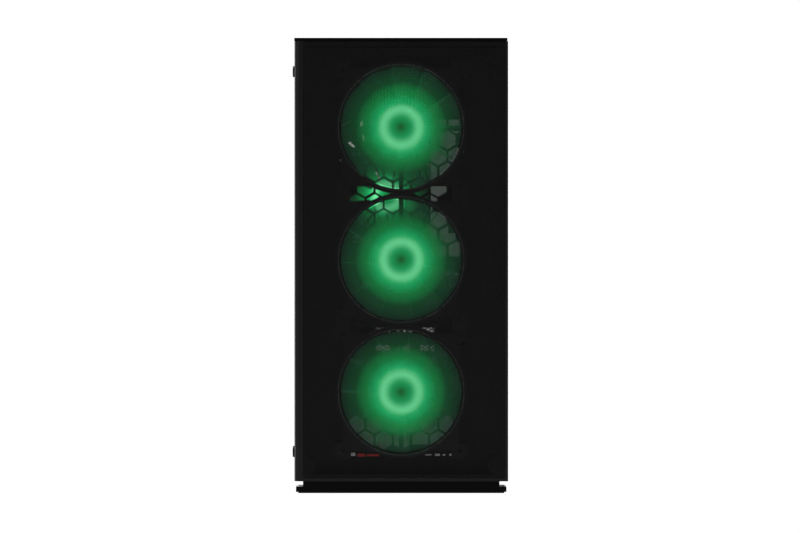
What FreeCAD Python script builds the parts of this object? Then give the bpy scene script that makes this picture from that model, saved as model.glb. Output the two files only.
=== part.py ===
import FreeCAD, Part

import math
import os
import re

import Sketcher
from FreeCAD import Placement, Rotation, Vector

# A compact desktop computer tower. Millimetres; the front faces -Y, up is +Z, and the
# origin is the middle of the footprint at floor level.

doc = FreeCAD.newDocument("desktop_tower")

# ---------------------------------------------------------------- driving dimensions
DIMS = {
    # outer envelope
    "half_width": 96.0,
    "base_z": 11.0,
    "top_z": 409.0,
    "front_y": -203.0,
    "rear_y": 197.0,
    # sheet-metal chassis
    "sheet": 0.8,
    "plate_y": -161.0,
    "left_x": -91.4,
    "right_x": 94.8,
    "floor_z": 12.0,
    "roof_z": 404.0,
    "shroud_z": 106.0,
    "tray_x": 73.6,
    "flange": 24.0,
    # feet
    "neck_half": 88.3,
    "foot_half": 94.6,
    "foot_height": 6.1,
    "pad_height": 1.2,
    # front panel
    "wall": 2.4,
    "border_left": 8.0,
    "border_right": 2.6,
    "mesh_low": 13.8,
    "mesh_high": 406.1,
    "mesh_sheet": 1.0,
    "mesh_pitch": 18.0,
    "mesh_bar": 2.0,
    # hexagonal vents
    "hex_pitch": 16.7,
    "hex_bar": 2.0,
    "hex_x": 0.6,
    "hex_z": 276.1,
    # large fans
    "fan_size": 120.0,
    "fan_pitch": 120.0,
    "fan_mid_z": 210.0,
    "fan_depth": 25.0,
    "fan_bore": 56.0,
    "fan_tip": 54.8,
    "fan_hub": 20.5,
    # small fans
    "small_size": 92.0,
    "small_bore": 43.4,
    "small_tip": 42.3,
    "small_hub": 17.0,
    "card_tip": 41.0,
    "card_bore": 42.2,
    "card_hub": 15.0,
    "supply_tip": 50.0,
    "supply_bore": 51.5,
    "pin_r": 3.0,
    "pin_play": 0.07,
    # motherboard
    "board_x": 66.0,
    "board_sheet": 1.6,
    "board_front": -50.5,
    "board_rear": 193.5,
    "board_low": 111.0,
    "board_high": 355.0,
    # power supply
    "supply_half": 75.0,
    "supply_front": 56.2,
    "supply_low": 15.0,
    "supply_high": 101.0,
    "supply_fan_y": 116.0,
    # drive
    "drive_half": 50.8,
    "drive_front": -115.0,
    "drive_rear": 32.0,
    "drive_low": 28.0,
    "drive_high": 54.1,
    # top trim
    "trim_z": 405.0,
    "trim_right": 95.3,
    "filter_half": 72.0,
    "filter_front": -118.0,
    "filter_rear": 170.0,
    # side panels
    "glass": 4.0,
    "screw_high": 383.5,
    "screw_low": 33.2,
    "screw_front": -148.0,
    "screw_rear": 184.0,
    "screw_r": 2.0,
    "knob_r": 5.15,
    "knob_height": 3.9,
}

sheet = doc.addObject("Spreadsheet::Sheet", "dims")
for row, (alias, value) in enumerate(DIMS.items(), start=1):
    sheet.set(f"A{row}", alias)
    sheet.set(f"B{row}", f"{value:g}")
    sheet.setAlias(f"B{row}", alias)
doc.recompute()

# ---------------------------------------------------------------- helpers
WORD = re.compile(r"[a-z][a-z_]*")
nodes = []


def expr(text):
    """An expression on the dimension sheet, from text such as 'left_x + sheet'."""
    return WORD.sub(lambda m: "dims." + m.group() if m.group() in DIMS else m.group(), str(text))


def bind(obj, **formulas):
    for name, text in formulas.items():
        obj.setExpression(name, expr(text))


def place(obj, x, y, z):
    for axis, text in zip("xyz", (x, y, z)):
        obj.setExpression(f".Placement.Base.{axis}", expr(text))


def node(label, obj):
    """Register a finished subcomponent."""
    obj.Label = label
    nodes.append(obj)
    return obj


def box(x0, x1, y0, y1, z0, z1):
    made = doc.addObject("Part::Box", "block")
    bind(made, Length=f"({x1}) - ({x0})", Width=f"({y1}) - ({y0})", Height=f"({z1}) - ({z0})")
    place(made, x0, y0, z0)
    return made


TURNS = {
    "X": Rotation(Vector(0, 1, 0), 90),
    "Y": Rotation(Vector(1, 0, 0), -90),
    "Z": Rotation(),
}


def rod(axis, x, y, z, radius, length):
    """A cylinder from the given point along one positive axis."""
    made = doc.addObject("Part::Cylinder", "rod")
    bind(made, Radius=radius, Height=length)
    made.Placement = Placement(Vector(), TURNS[axis])
    place(made, x, y, z)
    return made


def fuse(*shapes):
    made = doc.addObject("Part::MultiFuse", "joined")
    made.Shapes = list(shapes)
    return made


def cut(base, *tools):
    made = doc.addObject("Part::Cut", "cut")
    made.Base = base
    made.Tool = tools[0] if len(tools) == 1 else fuse(*tools)
    return made


def group(*shapes):
    """Separate solids that make up one subcomponent."""
    made = doc.addObject("Part::Compound", "group")
    made.Links = list(shapes)
    return made


def new_body(name="body"):
    return doc.addObject("PartDesign::Body", name)


def origin_of(body, role):
    return next(f for f in body.Origin.OriginFeatures if f.Role == role)


def sketch(body, plane, at="0"):
    """A sketch parallel to one of the body's origin planes, at a coordinate along its normal."""
    made = body.newObject("Sketcher::SketchObject", "profile")
    made.AttachmentSupport = (origin_of(body, plane + "_Plane"), [""])
    made.MapMode = "FlatFace"
    sign = "-" if plane == "XZ" else ""
    made.setExpression(".AttachmentOffset.Base.z", f"{sign}({expr(at)})")
    return made


def pin_point(profile, index, corner, u, v):
    """Fix one sketch point at (u, v), each an expression on the sheet."""
    for kind, text, axis in (("DistanceX", u, -2), ("DistanceY", v, -1)):
        if str(text) == "0":
            rule = Sketcher.Constraint("PointOnObject", index, corner, axis)
            profile.addConstraint(rule)
        else:
            rule = profile.addConstraint(Sketcher.Constraint(kind, -1, 1, index, corner, 1.0))
            profile.setExpression(f"Constraints[{rule}]", expr(text))


def polygon(profile, corners):
    """A closed outline whose corners follow the dimension sheet."""
    first = profile.GeometryCount
    count = len(corners)
    start = [Vector(i + 1, i * i % 7 + 1, 0) for i in range(count)]
    for i in range(count):
        profile.addGeometry(Part.LineSegment(start[i], start[(i + 1) % count]), False)
    for i in range(count):
        follower = first + (i + 1) % count
        profile.addConstraint(Sketcher.Constraint("Coincident", first + i, 2, follower, 1))
    for i, (u, v) in enumerate(corners):
        pin_point(profile, first + i, 1, u, v)


def rectangle(profile, u0, u1, v0, v1):
    polygon(profile, [(u0, v0), (u1, v0), (u1, v1), (u0, v1)])


def circle(profile, u, v, radius):
    index = profile.addGeometry(Part.Circle(Vector(1, 1, 0), Vector(0, 0, 1), 1.0), False)
    rule = profile.addConstraint(Sketcher.Constraint("Radius", index, 1.0))
    profile.setExpression(f"Constraints[{rule}]", expr(radius))
    pin_point(profile, index, 3, u, v)


def pad(body, profile, length, reverse=False):
    made = body.newObject("PartDesign::Pad", "pad")
    made.Profile = profile
    made.setExpression("Length", expr(length))
    made.Reversed = reverse
    return made


def pocket(body, profile, length=None, both=False):
    """Cut against the sketch normal, to a depth or right through."""
    made = body.newObject("PartDesign::Pocket", "pocket")
    made.Profile = profile
    if length is None:
        made.Type = "ThroughAll"
    else:
        made.setExpression("Length", expr(length))
    made.Midplane = both
    return made


def repeat_line(body, feature, role, length, count):
    made = body.newObject("PartDesign::LinearPattern", "row")
    made.Originals = [feature]
    made.Direction = (origin_of(body, role), [""])
    made.setExpression("Length", expr(length))
    made.Occurrences = count
    body.Tip = made
    return made


def repeat_round(body, feature, count):
    made = body.newObject("PartDesign::PolarPattern", "ring")
    made.Originals = [feature]
    made.Axis = (origin_of(body, "Z_Axis"), [""])
    made.Angle = 360
    made.Occurrences = count
    body.Tip = made
    return made


def hexagon(u, v, radius):
    """Lines of a hexagon that stands on one corner."""
    corners = []
    for k in range(6):
        angle = math.radians(60 * k)
        corners.append(Vector(u + radius * math.sin(angle), v + radius * math.cos(angle), 0))
    return [Part.LineSegment(corners[k], corners[(k + 1) % 6]) for k in range(6)]


def hex_field(u0, u1, v0, v1, pitch, bar, u_start, v_start, keep=None):
    """Hexagons of a vent: those of an endless grid that lie inside the given area."""
    rise = pitch * math.sin(math.radians(60))
    radius = (pitch - bar) / math.sqrt(3)
    lines = []
    first = math.ceil((v0 + radius - v_start) / rise)
    last = math.floor((v1 - radius - v_start) / rise)
    for row in range(first, last + 1):
        v = v_start + row * rise
        shift = pitch / 2 if row % 2 else 0.0
        side = (pitch - bar) / 2
        left = math.ceil((u0 + side - u_start - shift) / pitch)
        right = math.floor((u1 - side - u_start - shift) / pitch)
        for column in range(left, right + 1):
            u = u_start + shift + column * pitch
            if keep is None or keep(u, v):
                lines += hexagon(u, v, radius)
    return lines


def sheet_part(plane, at, thickness, corners, vents=(), windows=(), rounds=()):
    """A flat sheet with rectangular windows, round holes and hexagonal vents.

    `at` is its face on the lower side of the normal for XY and YZ, and its rear face for XZ."""
    body = new_body()
    outline = sketch(body, plane, at)
    polygon(outline, corners)
    for window in windows:
        rectangle(outline, *window)
    for hole in rounds:
        circle(outline, *hole)
    if vents:
        outline.addGeometry(list(vents), False)
    pad(body, outline, thickness).Refine = not vents
    return body


def corners_of(u0, u1, v0, v1):
    return [(u0, v0), (u1, v0), (u1, v1), (u0, v1)]


def tube_path(points, bend):
    """A wire of straight runs joined by tangent arcs."""
    points = [Vector(*p) for p in points]
    edges = []
    here = points[0]
    for i in range(1, len(points) - 1):
        back = (points[i - 1] - points[i]).normalize()
        ahead = (points[i + 1] - points[i]).normalize()
        enter = points[i] + back * bend
        leave = points[i] + ahead * bend
        centre = points[i] + (back + ahead) * bend
        middle = centre - (back + ahead).normalize() * bend
        edges.append(Part.LineSegment(here, enter).toShape())
        edges.append(Part.Arc(enter, middle, leave).toShape())
        here = leave
    edges.append(Part.LineSegment(here, points[-1]).toShape())
    return Part.Wire(edges)


def cable(points, bend, radius):
    """A round cable swept along its run."""
    run = tube_path(points, bend)
    start = Vector(*points[0])
    heading = Vector(*points[1]) - start
    ring = Part.Wire(Part.makeCircle(radius, start, heading))
    made = doc.addObject("Part::Feature", "cable")
    made.Shape = run.makePipeShell([ring], True, True)
    return made


# ---------------------------------------------------------------- fans
FACING = {
    # local +Z is the open side of the fan, with the hub's cap
    "front": Rotation(Vector(1, 0, 0), 90),
    "down": Rotation(Vector(1, 0, 0), 180),
}


def notched_square(profile, size):
    """Square flange of a fan with its four sides cut back between the corner ears."""
    half = f"{size} / 2"
    step = f"{size} * 0.388"
    back = f"{size} * 0.44"
    quarter = [(half, f"-({half})"), (half, f"-({step})"), (back, f"-({step})"),
               (back, step), (half, step)]
    corners = []
    turns = (
        lambda u, v: (u, v),
        lambda u, v: (f"-({v})", u),
        lambda u, v: (f"-({u})", f"-({v})"),
        lambda u, v: (v, f"-({u})"),
    )
    for turn in turns:
        corners += [turn(u, v) for u, v in quarter]
    polygon(profile, corners)


def fan_frame(label, x, back_y, z, size, bore, hub):
    """Fan housing: duct, two ear flanges, stator plate on four struts, and the bearing pin."""
    body = new_body()
    body.Placement = Placement(Vector(), FACING["front"])
    place(body, x, back_y, z)
    duct = sketch(body, "XY")
    circle(duct, "0", "0", f"{size} / 2")
    pad(body, duct, "fan_depth")
    for level in ("0", "fan_depth - 4.5"):
        ears = sketch(body, "XY", level)
        notched_square(ears, size)
        for u in (f"{size} * 0.4375", f"-({size} * 0.4375)"):
            for v in (f"{size} * 0.4375", f"-({size} * 0.4375)"):
                circle(ears, u, v, 2.2)
        pad(body, ears, 4.5)
    opening = sketch(body, "XY")
    circle(opening, "0", "0", bore)
    pocket(body, opening, both=True)
    strut = sketch(body, "XY")
    rectangle(strut, f"{hub} - 2", f"{bore} + 1", -2.2, 2.2)
    arm = pad(body, strut, 2.5)
    repeat_round(body, arm, 4)
    plate = sketch(body, "XY")
    circle(plate, "0", "0", hub)
    pad(body, plate, 2.5)
    pin = sketch(body, "XY")
    circle(pin, "0", "0", "pin_r")
    body.Tip = pad(body, pin, "fan_depth - 4.2")
    return node(label, body)


def blade_section(profile, height, chord, pitch, thick):
    """Cambered blade section, centred at the given height."""
    lean = math.radians(pitch)
    along = Vector(math.cos(lean), math.sin(lean), 0) * (chord / 2)
    across = Vector(-math.sin(lean), math.cos(lean), 0)
    middle = Vector(0, height, 0)
    a = middle - along - across * (thick / 2)
    b = middle + along - across * (thick / 2)
    c = middle + along + across * (thick / 2)
    d = middle - along + across * (thick / 2)
    bow = across * (chord * 0.1)
    profile.addGeometry([
        Part.Arc(a, (a + b) / 2 + bow, b),
        Part.LineSegment(b, c),
        Part.Arc(c, (c + d) / 2 + bow, d),
        Part.LineSegment(d, a),
    ], False)


def fan_rotor(label, x, y, z, tip, hub, low, high, blades, facing="front", phase=0.0):
    """Hub cup with its bearing boss, and blades lofted from the hub out to the tip circle."""
    body = new_body()
    body.Placement = Placement(Vector(), FACING[facing] * Rotation(Vector(0, 0, 1), phase))
    place(body, x, y, z)
    cup = sketch(body, "XZ")
    cap = f"({high}) - 1.6"
    bore = "pin_r + pin_play"
    polygon(cup, [("0", high), (hub, high), (hub, low), (f"{hub} - 1.5", low),
                  (f"{hub} - 1.5", cap), (6.0, cap), (6.0, f"({low}) + 0.4"),
                  (bore, f"({low}) + 0.4"), (bore, cap), ("0", cap)])
    turned = body.newObject("PartDesign::Revolution", "hub")
    turned.Profile = cup
    turned.ReferenceAxis = (cup, ["V_Axis"])
    turned.Angle = 360
    grow = DIMS[tip] / DIMS["fan_tip"]
    height = (low + high) / 2
    squat = min(1.0, (high - low) / 19.0)
    stations = (
        (f"{hub} - 0.8", 17.5 * grow, 50.0 * squat, 1.6),
        (f"({hub} + {tip}) / 2", 28.5 * grow, 38.0 * squat, 1.5),
        (f"{tip} + 1.5", 38.0 * grow, 27.0 * squat, 1.3),
    )
    sections = []
    for radius, chord, pitch, thick in stations:
        section = sketch(body, "YZ", radius)
        blade_section(section, height, chord, pitch, thick)
        sections.append(section)
    blade = body.newObject("PartDesign::AdditiveLoft", "blade")
    blade.Profile = sections[0]
    blade.Sections = sections[1:]
    repeat_round(body, blade, blades)
    trim = sketch(body, "XY")
    circle(trim, "0", "0", tip)
    circle(trim, "0", "0", f"{tip} * 1.4")
    body.Tip = pocket(body, trim, both=True)
    return node(label, body)


# ---------------------------------------------------------------- chassis
fan_levels = [DIMS["fan_mid_z"] + k * DIMS["fan_pitch"] for k in (1, 0, -1)]
ear = DIMS["fan_size"] * 0.4375


def clear_of_fan_screws(x, z):
    gaps = [math.hypot(abs(x) - ear, z - level - side * ear)
            for level in fan_levels for side in (-1, 1)]
    return min(gaps) > 11.0


front_sheet = sheet_part(
    "XZ", "plate_y + sheet", "sheet", corners_of("left_x", "right_x", "floor_z", "roof_z"),
    vents=hex_field(-58.5, 59.0, 30.0, 396.0, DIMS["hex_pitch"], DIMS["hex_bar"],
                    DIMS["hex_x"], DIMS["hex_z"], keep=clear_of_fan_screws),
    rounds=[(x, z, 3.3) for x in (-86, 86) for z in (24, 392)]
    + [(s * ear, level + t * ear, 2.2) for level in fan_levels for s in (-1, 1) for t in (-1, 1)],
)
plate_back = "plate_y + sheet"
left_in = "left_x + sheet"
front_left = box("left_x", left_in, plate_back, f"{plate_back} + flange", "floor_z + sheet",
                 "roof_z - sheet")
front_right = box("right_x - sheet", "right_x", plate_back, f"{plate_back} + 12",
                  "floor_z + sheet", "roof_z - sheet")
rear_left = box("left_x", left_in, "rear_y - sheet - flange", "rear_y - sheet",
                "floor_z + sheet", "roof_z - sheet")


def nuts(y):
    """Pressed-in nuts that take the glass panel's thumbscrews."""
    return [rod("X", left_in, y, z, 4.0, 6.0) for z in ("screw_high", "screw_low")]


def nut_holes(y):
    return [rod("X", "left_x - 1", y, z, "screw_r + 0.08", 9.0) for z in ("screw_high", "screw_low")]


node("front_plate", front_sheet)
node("side_flanges", group(
    cut(fuse(front_left, *nuts("screw_front")), *nut_holes("screw_front")),
    cut(fuse(rear_left, *nuts("screw_rear")), *nut_holes("screw_rear")),
    front_right,
))

slot_levels = [121.0, 141.3, 161.6, 182.0]
SMALL_X = -36.0
SMALL_Z = 320.0
rear_sheet = sheet_part(
    "XZ", "rear_y", "sheet", corners_of("left_x", "right_x", "floor_z", "roof_z"),
    vents=hex_field(SMALL_X - 44, SMALL_X + 44, SMALL_Z - 44, SMALL_Z + 44, 8.6, 1.4,
                    SMALL_X, SMALL_Z, keep=lambda u, v: math.hypot(u - SMALL_X, v - SMALL_Z) < 38),
    windows=[(-60, 60, 22, 94), (20.5, 63.5, 190, 350)]
    + [(-36, 60, z - 11, z + 1.5) for z in slot_levels],
    rounds=[(s * 66, z, 1.9) for s in (-1, 1) for z in (24, 92)]
    + [(90, z, 1.78) for z in (60, 350)],
)
node("rear_plate", rear_sheet)

# floor with the supply's intake slots, and rails for the filter below it
intake = [(x, x + 6, 70, 162) for x in range(-46, 47, 10)]
floor_sheet = sheet_part(
    "XY", "floor_z", "sheet", corners_of("left_x", "right_x", "plate_y + sheet", "rear_y - sheet"),
    windows=intake,
)
rails = [
    box(-86, 64, 57.8, 59.8, 8.0, "floor_z"), box(-86, 64, 59.8, 62.6, 8.0, 8.6),
    box(-86, 64, 168.2, 170.2, 8.0, "floor_z"), box(-86, 64, 165.4, 168.2, 8.0, 8.6),
]
node("floor_pan", fuse(floor_sheet, *rails))

node("roof_plate", sheet_part(
    "XY", "roof_z - sheet", "sheet",
    corners_of("left_x", "right_x", "plate_y + sheet", "rear_y - sheet"),
    vents=hex_field(-66, 66, -108, 160, DIMS["hex_pitch"], DIMS["hex_bar"], 0.0, 26.0),
    windows=[(-80, 80, -157, -120)],
))

stud_spots = [(-42, 118), (-42, 222), (-42, 348)]
stud_spots += [(y, z) for y in (70, 172) for z in (118, 240, 348)]
tray_sheet = sheet_part(
    "YZ", "tray_x", "sheet", corners_of(-100, "rear_y - sheet", "shroud_z + sheet", "roof_z - sheet"),
    windows=[(76, 150, 250, 325), (-92, -60, 120, 190), (-92, -60, 225, 300), (-20, 60, 366, 388)],
)
standoffs = [
    rod("X", "board_x + board_sheet", y, z, 2.8, "tray_x - board_x - board_sheet")
    for y, z in stud_spots
]
node("motherboard_tray", fuse(tray_sheet, *standoffs))

shroud_top = sheet_part(
    "XY", "shroud_z", "sheet", corners_of(-88.4, "right_x", -130, "rear_y - sheet"),
    windows=[(77, 91, 28, 60)] + [(x, x + 5, -118, -62) for x in (-76, -64, 28, 40, 52)],
)
shroud_wall = box(-88.4, -87.6, -130, "screw_rear - 8", "floor_z + sheet", "shroud_z")
node("psu_shroud", fuse(shroud_top, shroud_wall))

cage_sides = []
for side in (-1, 1):
    inner = "drive_half + 1.6"
    walls = sheet_part(
        "YZ", f"{inner}" if side > 0 else f"-({inner}) - sheet", "sheet",
        corners_of("drive_front - 3", "drive_rear + 3", "floor_z + sheet", "shroud_z"),
        windows=[(y, y + 22, 66, 94) for y in (-100, -66, -32)],
    )
    near = f"{side} * (drive_half + 1.6)"
    far = f"{side} * (drive_half - 6)"
    low, high = (far, near) if side > 0 else (near, far)
    cage_sides += [walls, box(low, high, "drive_front", "drive_rear", "drive_low - 1", "drive_low")]
cage_floor = box("-(drive_half) - 1.6 - sheet", "drive_half + 1.6 + sheet", "drive_front - 3",
                 "drive_rear + 3", "floor_z + sheet", "floor_z + sheet * 2")
node("drive_cage", fuse(*cage_sides, cage_floor))


def foot(label, y0, y1, lip0, lip1, rise):
    """Full-width foot bar: a shallow wide flange near the ground and a narrower, deeper neck."""
    body = new_body()
    profile = sketch(body, "XZ", lip1)
    right = [("foot_half", "pad_height"), ("foot_half", "foot_height - 0.5"),
             ("foot_half - 0.5", "foot_height")]
    left = [(f"-({u})", v) for u, v in reversed(right)]
    polygon(profile, right + left)
    pad(body, profile, f"({lip1}) - ({lip0})")
    neck = box("-neck_half", "neck_half", y0, y1, 3.0, "base_z - 0.3")
    riser = box("-neck_half", "neck_half", rise, y1, "base_z - 0.5", "floor_z")
    return node(label, fuse(body, neck, riser))


foot("front_foot", -200, -146, -200, -183, "plate_y + 2")
foot("rear_foot", 172, 194, 177, 194, 172)
node("foot_pads", group(
    box("-(foot_half) + 2", "foot_half - 2", -198.5, -184.5, 0, "pad_height"),
    box("-(foot_half) + 2", "foot_half - 2", 178.5, 192.5, 0, "pad_height"),
))

covers = [
    sheet_part("XZ", "rear_y - sheet", "sheet", corners_of(-42, 68, z - 13.2, z + 4.8),
               windows=[(x, x + 16, z - 8, z - 2) for x in (-28, -4, 20)])
    for z in slot_levels[:2]
]
node("slot_covers", group(*covers))

# ---------------------------------------------------------------- removable front panel
panel = new_body()
plan = sketch(panel, "XY", "base_z")
polygon(plan, [
    ("half_width", "plate_y - 0.3"), ("-half_width", "plate_y - 0.3"),
    ("-half_width", "front_y + 4"), ("-half_width + 1.2", "front_y + 1.2"),
    ("-half_width + 4", "front_y"), ("half_width - 0.8", "front_y"),
    ("half_width", "front_y + 0.8"),
])
pad(panel, plan, "mesh_high - base_z")
hollow = sketch(panel, "XZ", "front_y + 3")
rectangle(hollow, "-half_width + wall", "half_width - wall", "base_z + wall", "mesh_high - wall")
pocket(panel, hollow)
recess = sketch(panel, "XZ", "front_y")
rectangle(recess, "-half_width + border_left", "half_width - border_right", "mesh_low",
          "mesh_high + 1")
pocket(panel, recess, "mesh_sheet + 0.6")
mouth = sketch(panel, "XZ", "front_y")
rectangle(mouth, "-half_width + border_left + 3", "half_width - border_right - 3",
          "mesh_low + 3", "mesh_high - 4")
pocket(panel, mouth)
bosses = sketch(panel, "XZ", "plate_y - 0.3")
for x in (-86, 86):
    for z in (24, 392):
        circle(bosses, x, z, 7.8)
pad(panel, bosses, "plate_y - 0.3 - front_y - 2")
slot = sketch(panel, "YZ")
rectangle(slot, "front_y + 12", "plate_y - 10", 36, 41)
vent = pocket(panel, slot, both=True)
repeat_line(panel, vent, "Z_Axis", 336, 25)
pegs = [rod("Y", x, "plate_y - 0.3", z, 3.0, 7.0) for x in (-86, 86) for z in (24, 392)]
node("front_frame", group(panel, *pegs))

front_mesh = sheet_part(
    "XZ", "front_y + mesh_sheet + 0.3", "mesh_sheet",
    corners_of("-half_width + border_left + 0.2", "half_width - border_right - 0.2",
               "mesh_low + 0.2", "mesh_high"),
    vents=hex_field(-86.0, 91.6, 16.0, 404.4, DIMS["mesh_pitch"], DIMS["mesh_bar"], 2.9, 210.0),
)
node("front_mesh", front_mesh)

# ---------------------------------------------------------------- top
USB_X = (34.0, 56.0)
JACK_X = (-34.0, -50.0)
PORT_Y = -140.0
openings = {
    "windows": [(x - 7.4, x + 7.4, PORT_Y - 3.6, PORT_Y + 3.6) for x in USB_X],
    "rounds": [(0, PORT_Y, 7.3), (17, PORT_Y, 3.3)] + [(x, PORT_Y, 3.4) for x in JACK_X],
}
trim_base = sheet_part(
    "XY", "trim_z", 1.4, corners_of("-half_width", "trim_right", "plate_y + 0.5", "rear_y"),
    windows=openings["windows"] + [("-filter_half + 4", "filter_half - 4",
                                    "filter_front + 4", "filter_rear - 4")],
    rounds=openings["rounds"],
)
trim_face = sheet_part(
    "XY", "trim_z + 1.4", "top_z - trim_z - 1.4",
    corners_of("-half_width", "trim_right", "front_y", "rear_y"),
    windows=openings["windows"] + [("-filter_half", "filter_half", "filter_front", "filter_rear")],
    rounds=openings["rounds"],
)
ribs = [box(x, x + 4, -100, 190, "roof_z", "trim_z") for x in (-88, 84)]
posts = [rod("Z", x, PORT_Y, 399, 3.0, 6.0) for x in (-70, 70)]
node("top_trim", fuse(trim_base, trim_face, *ribs, *posts))

node("top_filter", sheet_part(
    "XY", "trim_z + 1.7", 2.0,
    corners_of("-filter_half + 0.3", "filter_half - 0.3", "filter_front + 0.3", "filter_rear - 0.3"),
    vents=hex_field(-68, 68, -114, 166, 20.0, 2.0, 0.0, 26.0),
))

shells = [box(-76, 76, -156, -124, 397.4, 399)]
for x in USB_X:
    outer = box(x - 6.6, x + 6.6, PORT_Y - 2.9, PORT_Y + 2.9, 399, "top_z - 0.6")
    inner = box(x - 6.1, x + 6.1, PORT_Y - 2.4, PORT_Y + 2.4, 400, "top_z")
    tongue = box(x - 5.2, x + 5.2, PORT_Y - 1.9, PORT_Y - 0.2, 400, "top_z - 1.8")
    shells.append(fuse(cut(outer, inner), tongue))
for x in JACK_X:
    shells.append(cut(rod("Z", x, PORT_Y, 399, 3.1, 9.6), rod("Z", x, PORT_Y, 401, 1.75, 9.0)))
node("front_io", fuse(*shells))

power_cap = cut(rod("Z", 0, PORT_Y, 402, 7.0, "top_z - 402 + 0.5"),
                rod("Z", 0, PORT_Y, "top_z", 5.6, 1.0))
node("power_button", fuse(power_cap, rod("Z", 0, PORT_Y, 402, 8.6, 2.7)))
node("reset_button", fuse(rod("Z", 17, PORT_Y, 402, 3.0, "top_z - 402 + 0.2"),
                          rod("Z", 17, PORT_Y, 402, 4.4, 2.7)))

# ---------------------------------------------------------------- fans in place
names = ("top", "mid", "low")
for name, step, phase in zip(names, ("fan_pitch", "0", "-fan_pitch"), (18.0, 3.0, 0.0)):
    centre = f"fan_mid_z + ({step})"
    fan_frame(f"fan_{name}_frame", 0, "plate_y", centre, "fan_size", "fan_bore", "fan_hub")
    fan_rotor(f"fan_{name}_rotor", 0, "plate_y", centre, "fan_tip", "fan_hub", 3.3, 23.0, 11,
              phase=phase)

fan_frame("rear_fan_frame", SMALL_X, "rear_y - sheet", SMALL_Z, "small_size", "small_bore",
          "small_hub")
fan_rotor("rear_fan_rotor", SMALL_X, "rear_y - sheet", SMALL_Z, "small_tip", "small_hub",
          3.3, 23.0, 9)
COOLER_X = -14.5
COOLER_Z = 275.0
fan_frame("cooler_fan_frame", COOLER_X, 80, COOLER_Z, "small_size", "small_bore", "small_hub")
fan_rotor("cooler_fan_rotor", COOLER_X, 80, COOLER_Z, "small_tip", "small_hub", 3.3, 23.0, 9,
          phase=12.0)

# ---------------------------------------------------------------- motherboard
node("motherboard", sheet_part(
    "YZ", "board_x", "board_sheet",
    corners_of("board_front", "board_rear", "board_low", "board_high"),
    rounds=[(y, z, 1.9) for y, z in stud_spots],
))
board_screws = [
    fuse(rod("X", "board_x - 1.8", y, z, 2.9, 1.8), rod("X", "board_x", y, z, 1.5, "board_sheet"))
    for y, z in stud_spots
]

port_blocks = [
    # lower and upper edge, outer reach from the board, socket depth
    (328, 345, 34.0), (300, 318, 38.0), (276, 292, 36.0), (250, 266, 36.0), (222, 238, 40.0),
    (196, 212, 36.0),
]
io_shield = sheet_part(
    "XZ", "rear_y - sheet", "sheet", corners_of(18, 68.4, 187.5, 352.5),
    windows=[(x - 0.4, 64.4, low - 0.4, high + 0.4) for low, high, x in port_blocks],
)
ports = []
for low, high, x in port_blocks:
    block = box(x, 64, 166, "rear_y - 0.4", low, high)
    mid = (x + 64) / 2
    sockets = [box(x + 2, mid - 1.2, "rear_y - 11", "rear_y", low + 2, high - 2),
               box(mid + 1.2, 62, "rear_y - 11", "rear_y", low + 2, high - 2)]
    ports.append(fuse(cut(block, *sockets), box(64, "board_x", 168, "board_rear", low + 1, high - 1)))
node("rear_io", group(io_shield, *ports))

ram_rows = [12.0, 21.5, 31.0, 40.5]
connectors = []
for y in ram_rows:
    connectors.append(cut(box(58, "board_x", y - 3.2, y + 3.2, 212, 352),
                          box(57, 62.6, y - 0.8, y + 0.8, 214.6, 349.4)))
for z in (slot_levels[3], slot_levels[1]):
    connectors.append(cut(box(55, "board_x", 8, 98, z - 3.7, z + 3.7),
                          box(54, 61, 10, 96, z - 1.1, z + 1.1)))
connectors.append(box(53, "board_x", -49, -39, 235, 287))
connectors.append(box(57, "board_x", -49, -37, 133, 147))
connectors.append(box(55, "board_x", 150, 160, 340, 354))
connectors.append(box(62, "board_x", 85, 127, 254, 296))
connectors.append(rod("X", 62, 40, 196, 10.0, "board_x - 62"))
node("board_connectors", group(*connectors))

sticks = [
    fuse(box(32, 62, y - 0.6, y + 0.6, 215.5, 348.5), box(30, 57.4, y - 3.4, y + 3.4, 214.5, 349.5))
    for y in ram_rows
]
node("ram_modules", group(*sticks))


def finned_block(x0, x1, y0, y1, z0, z1, fins):
    """Extruded heatsink with fins that run along Z and stand off the board."""
    body = new_body()
    base = sketch(body, "XY", z0)
    rectangle(base, x1 - 3, x1, y0, y1)
    pad(body, base, z1 - z0)
    blade = sketch(body, "XY", z0)
    rectangle(blade, x0, x1 - 3, y0, y0 + 1.4)
    fin = pad(body, blade, z1 - z0)
    repeat_line(body, fin, "Y_Axis", y1 - y0 - 1.4, fins)
    return body


node("board_heatsinks", group(
    finned_block(46, 66, 138, 160, 222, 326, 6),
    finned_block(56, 66, -33, 4, 140, 176, 9),
    finned_block(50, 66, 70, 120, 325, 343, 11),
))

# ---------------------------------------------------------------- processor cooler
pipe_rows = (92.0, 105.0, 118.0)
pipe_levels = (243.0, 307.0)
stack = new_body()
fin_face = sketch(stack, "YZ", -54)
rectangle(fin_face, 80, 130, 229, 321)
for y in pipe_rows:
    for z in pipe_levels:
        circle(fin_face, y, z, 3.15)
fin = pad(stack, fin_face, 0.6)
folds = sketch(stack, "YZ", -54)
rectangle(folds, 80, 130, 229, 229.6)
rectangle(folds, 80, 130, 320.4, 321)
pad(stack, folds, 78.6)
doc.recompute()
repeat_line(stack, fin, "X_Axis", 78, 27)
node("cooler_fins", stack)

cooler_block = box(50, 59, 86, 124, 255, 295)
lid = box(59, 62, 90, 122, 259, 291)
pipes = [
    cable([(-53.5, y, 243.0), (52.0, y, 243.0), (52.0, y, 307.0), (-53.5, y, 307.0)], 10.0, 3.0)
    for y in pipe_rows
]
node("cooler_base", fuse(cooler_block, lid, *pipes))

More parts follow.
